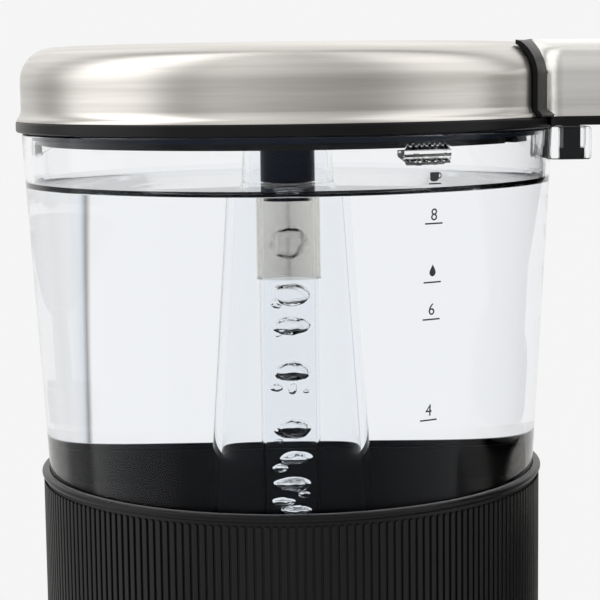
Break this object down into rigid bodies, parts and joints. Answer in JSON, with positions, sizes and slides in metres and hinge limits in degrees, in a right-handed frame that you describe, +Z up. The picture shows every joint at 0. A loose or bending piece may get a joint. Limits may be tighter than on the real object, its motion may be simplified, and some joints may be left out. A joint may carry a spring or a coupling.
{
  "type": "pour-over coffee maker",
  "caption": "Pour-over coffee maker with a clear water tank on a ribbed tower, a brushed steel lid and arm, a filter cone and an insulated jug on a flat base.",
  "frame": {"origin": "middle of the outline's footprint, on the counter", "axes": "+Z up, -Y the front with the power button, +X from the tank's tower towards the jug's handle"},
  "size_m": [0.3038, 0.1316, 0.2779],
  "materials": {
    "brushed_steel": "brushed, warm grey",
    "plain_steel": "rolled sheet",
    "screw_steel": "zinc plated",
    "cast_aluminium": "cast, matt",
    "black_plastic": "fine grain",
    "ribbed_black": "fine upright ribs",
    "satin_black": "satin",
    "clear_plastic": "clear, transparent",
    "light_white": "translucent",
    "valve_white": "natural, unpainted",
    "fuse_white": "woven sleeve",
    "board_green": "lacquered",
    "relay_blue": "moulded",
    "black_rubber": "matt",
    "grey_silicone": "soft, translucent",
    "cream_silicone": "soft, translucent cream",
    "dark_silicone": "dark blue-black"
  },
  "bodies": {
    "machine": {"base_shell": "black_plastic", "base_cover": "black_plastic", "rubber_feet": "black_rubber", "cover_screws": "screw_steel", "tower_screws": "screw_steel", "stand_plate": "brushed_steel", "cable_gland": "black_plastic", "gland_nut": "black_plastic", "tower_housing": "black_plastic", "ribbed_sleeve": "ribbed_black", "housing_rim": "satin_black", "tank": "clear_plastic", "riser_guard": "clear_plastic", "riser_tube": "clear_plastic", "riser_sleeve": "cream_silicone", "riser_fitting": "satin_black", "riser_seal": "grey_silicone", "riser_nut": "black_plastic", "inlet_strainer": "satin_black", "heater_plate": "plain_steel", "heater_screws": "screw_steel", "heater_block": "cast_aluminium", "heating_rod": "plain_steel", "thermostat": "plain_steel", "thermal_fuses": "fuse_white", "outlet_hose": "grey_silicone", "inlet_hose": "grey_silicone", "hose_clamps": "screw_steel", "valve_body": "valve_white", "light_ring": "light_white", "switch_body": "black_plastic", "control_board": "board_green", "relay": "relay_blue", "board_screws": "screw_steel", "terminal_block": "valve_white"},
    "head": {"lid_cover": "brushed_steel", "lid_base": "satin_black", "lid_gasket": "dark_silicone", "arm_cover": "brushed_steel", "arm_end": "satin_black", "arm_tray": "satin_black", "water_channel": "valve_white", "head_connector": "dark_silicone", "shower_head": "satin_black", "shower_gasket": "grey_silicone", "shower_screws": "screw_steel", "head_screws": "screw_steel"},
    "button": {"power_button": "satin_black", "switch_plunger": "valve_white"},
    "ball": {"valve_ball": "plain_steel"},
    "jug": {"jug_shell": "brushed_steel", "jug_liner": "plain_steel", "liner_neck": "plain_steel", "jug_base": "black_plastic", "jug_collar": "satin_black", "jug_handle": "satin_black", "handle_screws": "screw_steel", "handle_bracket": "plain_steel"},
    "funnel": {"filter_cone": "satin_black"}
  },
  "joints": [
    {"name": "head_lift", "type": "slide", "parent": "machine", "child": "head", "axis": [0, 0, 1], "range_m": [0, 0.08]},
    {"name": "jug_slide", "type": "slide", "parent": "machine", "child": "jug", "axis": [0, -1, 0], "range_m": [0, 0.2]},
    {"name": "funnel_lift", "type": "slide", "parent": "jug", "child": "funnel", "axis": [0, 0, 1], "range_m": [0, 0.0065]},
    {"name": "power_press", "type": "slide", "parent": "machine", "child": "button", "axis": [0, 1, 0], "range_m": [0, 0.0015], "stiffness_N_per_m": 1500},
    {"name": "ball_rise", "type": "slide", "parent": "machine", "child": "ball", "axis": [0, 0, 1], "range_m": [0, 0.0025]}
  ]
}
